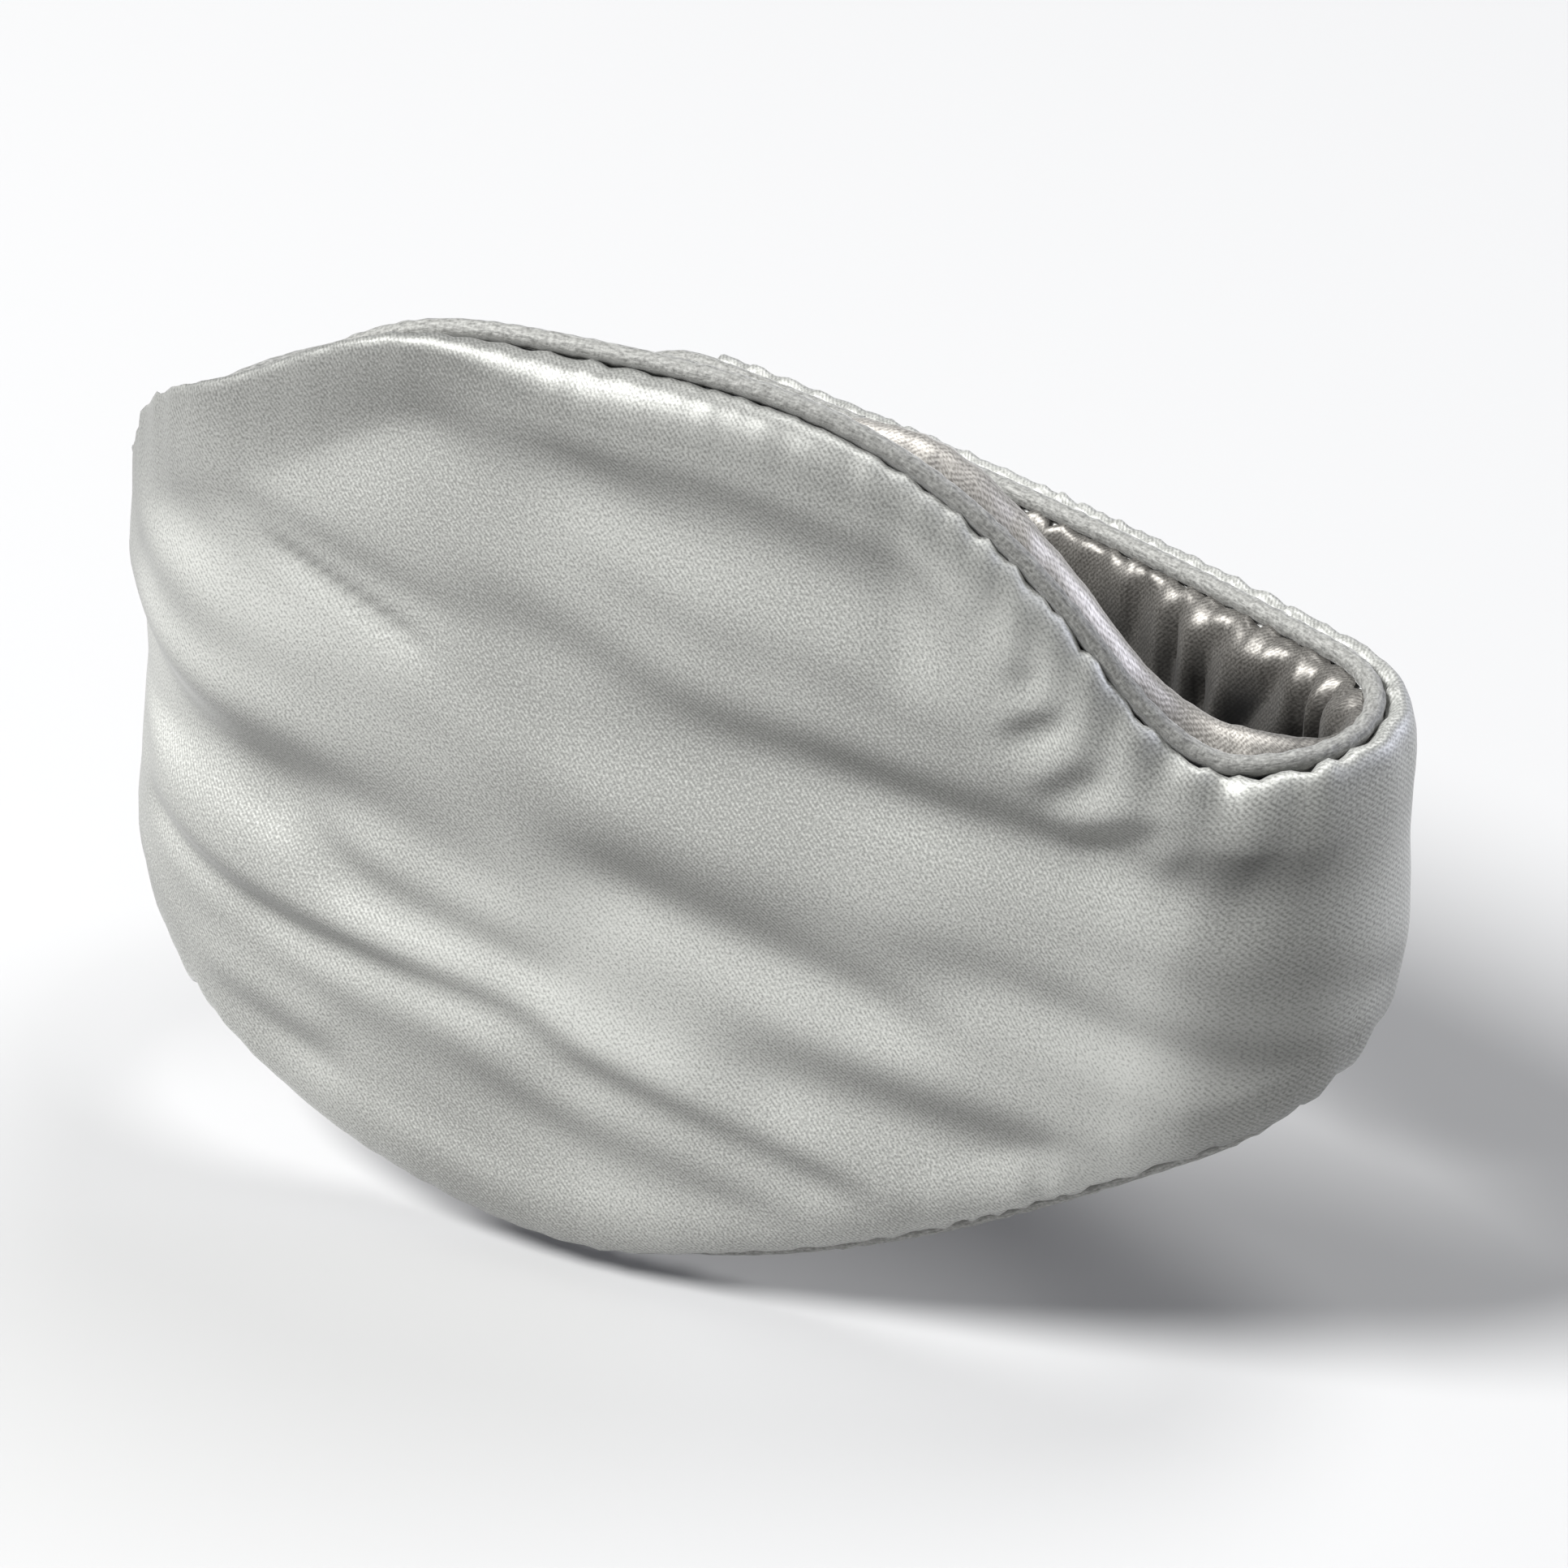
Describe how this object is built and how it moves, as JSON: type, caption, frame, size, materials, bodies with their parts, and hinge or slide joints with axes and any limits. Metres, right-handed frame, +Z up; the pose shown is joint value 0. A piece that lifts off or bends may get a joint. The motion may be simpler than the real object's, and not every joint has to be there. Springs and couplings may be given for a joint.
{
  "type": "sleep eye mask",
  "caption": "Padded satin sleep eye mask closed into a loop, with a lens-shaped body, piped edges and a wide strap that laps and fastens at the back.",
  "frame": {"origin": "middle of the head opening, at the height of the strap's centreline, between the two end turns of the loop", "axes": "+Z up as worn, front of the mask faces -Y, back of the head +Y, +X to the right seen from the front"},
  "size_m": [0.1805, 0.0907, 0.1324],
  "materials": {
    "outer_satin": "silver-grey satin, fine diagonal weave, soft sheen",
    "lining_satin": "silver-grey satin, gathered",
    "piping_satin": "ribbed satin bias binding",
    "padding": "soft fibre filling",
    "blackout": "dense matt interlining",
    "filler_cord": "twisted cotton cord",
    "hook_tape": "woven tape with fine hooks",
    "loop_tape": "brushed loop pile",
    "label": "woven black tape"
  },
  "bodies": {
    "mask_body": {"mask_outer_satin": "outer_satin", "mask_lining": "lining_satin", "mask_pad": "padding", "blackout_cloth": "blackout", "mask_upper_piping": "piping_satin", "mask_upper_piping_cord": "filler_cord", "mask_lower_piping": "piping_satin", "mask_lower_piping_cord": "filler_cord"},
    "outer_band": {"outer_band_outer_satin": "outer_satin", "outer_band_lining": "lining_satin", "outer_band_pad": "padding", "outer_band_upper_piping": "piping_satin", "outer_band_upper_piping_cord": "filler_cord", "outer_band_lower_piping": "piping_satin", "outer_band_lower_piping_cord": "filler_cord", "side_label": "label"},
    "tab": {"tab_outer_satin": "outer_satin", "tab_lining": "lining_satin", "tab_pad": "padding", "tab_piping": "piping_satin", "tab_piping_cord": "filler_cord", "hook_tape": "hook_tape"},
    "under_band": {"under_band_outer_satin": "outer_satin", "under_band_lining": "lining_satin", "under_band_pad": "padding", "under_band_piping": "piping_satin", "under_band_piping_cord": "filler_cord", "loop_tape": "loop_tape"}
  },
  "joints": [
    {"name": "outer_band_swing", "type": "hinge", "parent": "mask_body", "child": "outer_band", "pos_m": [0.0808, 0, 0], "axis": [0, 0, -1], "range_deg": [0, 110]},
    {"name": "tab_peel", "type": "hinge", "parent": "outer_band", "child": "tab", "pos_m": [-0.02476, 0.04444, 0], "axis": [0, 0, -1], "range_deg": [0, 65]},
    {"name": "under_band_swing", "type": "hinge", "parent": "mask_body", "child": "under_band", "pos_m": [-0.1001, 0, 0], "axis": [0, 0, 1], "range_deg": [0, 37]}
  ],
  "couplings": [
    {"joint": "under_band_swing", "follows": "outer_band_swing", "ratio": 0.33}
  ]
}
